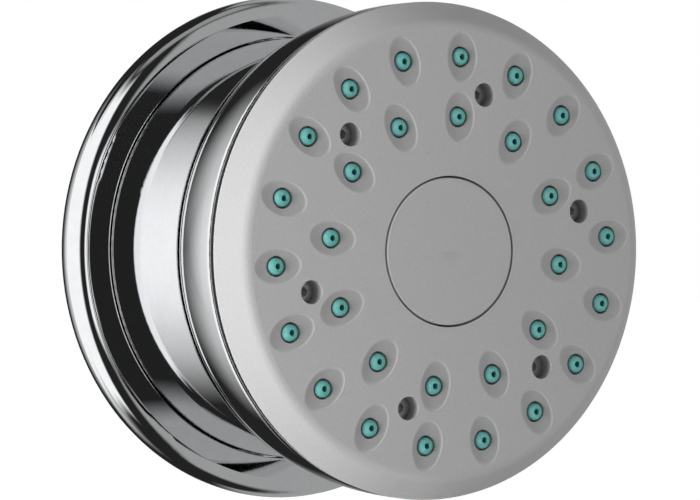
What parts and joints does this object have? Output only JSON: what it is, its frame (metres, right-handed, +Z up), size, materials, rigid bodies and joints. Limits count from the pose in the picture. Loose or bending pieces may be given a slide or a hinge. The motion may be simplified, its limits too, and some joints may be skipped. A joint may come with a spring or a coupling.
{
  "type": "shower body jet",
  "caption": "Round wall-mounted shower body jet: chrome neck and wall ring, swivelling head with a domed satin spray face, soft nozzles and a central stop button.",
  "frame": {"origin": "on the jet axis at the wall plane, in the inlet thread", "axes": "the jet points along -Y out of the wall, +Y goes into the wall, +Z is up"},
  "size_m": [0.082, 0.0654, 0.082],
  "materials": {
    "chrome": "polished",
    "satin_grey": "satin",
    "nozzle_silicone": "matte",
    "dark_plastic": "matte",
    "pale_plastic": "matte",
    "brass": "turned",
    "steel": "plain",
    "black_rubber": "matte",
    "gasket_foam": "foam"
  },
  "bodies": {
    "wall_fitting": {"inlet_nipple": "brass", "inlet_seal": "black_rubber", "inlet_strainer": "pale_plastic", "flow_regulator": "pale_plastic", "stud_seal": "black_rubber", "ball_stud": "brass", "sleeve_carrier": "pale_plastic", "lock_nut": "brass", "sleeve_ring": "black_rubber", "neck_sleeve": "chrome"},
    "wall_ring": {"escutcheon": "chrome", "escutcheon_grip": "black_rubber", "wall_gasket": "gasket_foam"},
    "joint_ring": {"slip_ring": "pale_plastic"},
    "joint_seal": {"ball_seal": "black_rubber"},
    "spray_head": {"socket_nut": "brass", "ball_socket": "brass", "socket_gasket": "black_rubber", "chamber_plate": "dark_plastic", "head_shell": "chrome", "nozzle_mat": "nozzle_silicone", "spray_face": "satin_grey", "face_screws": "steel", "valve_guide": "pale_plastic", "guide_ring": "black_rubber", "latch_pin": "steel", "return_spring": "steel"},
    "button": {"stop_button": "satin_grey", "valve_stem": "brass", "stem_ring": "black_rubber", "valve_washer": "black_rubber", "washer_screw": "steel"}
  },
  "joints": [
    {"name": "ring_slide", "type": "slide", "parent": "wall_fitting", "child": "wall_ring", "axis": [0, -1, 0], "range_m": [0, 0.015]},
    {"name": "head_pan", "type": "hinge", "parent": "wall_fitting", "child": "joint_ring", "pos_m": [0, -0.0282, 0], "axis": [0, 0, 1], "range_deg": [-10, 10]},
    {"name": "head_tilt", "type": "hinge", "parent": "joint_ring", "child": "joint_seal", "pos_m": [0, -0.0282, 0], "axis": [1, 0, 0], "range_deg": [-10, 10]},
    {"name": "head_spin", "type": "hinge", "parent": "joint_seal", "child": "spray_head", "pos_m": [0, -0.0282, 0], "axis": [0, -1, 0], "continuous": true},
    {"name": "button_press", "type": "slide", "parent": "spray_head", "child": "button", "axis": [0, 1, 0], "range_m": [0, 0.0024], "stiffness_N_per_m": 1200, "springref_m": -0.001, "deforming": ["return_spring"]}
  ]
}
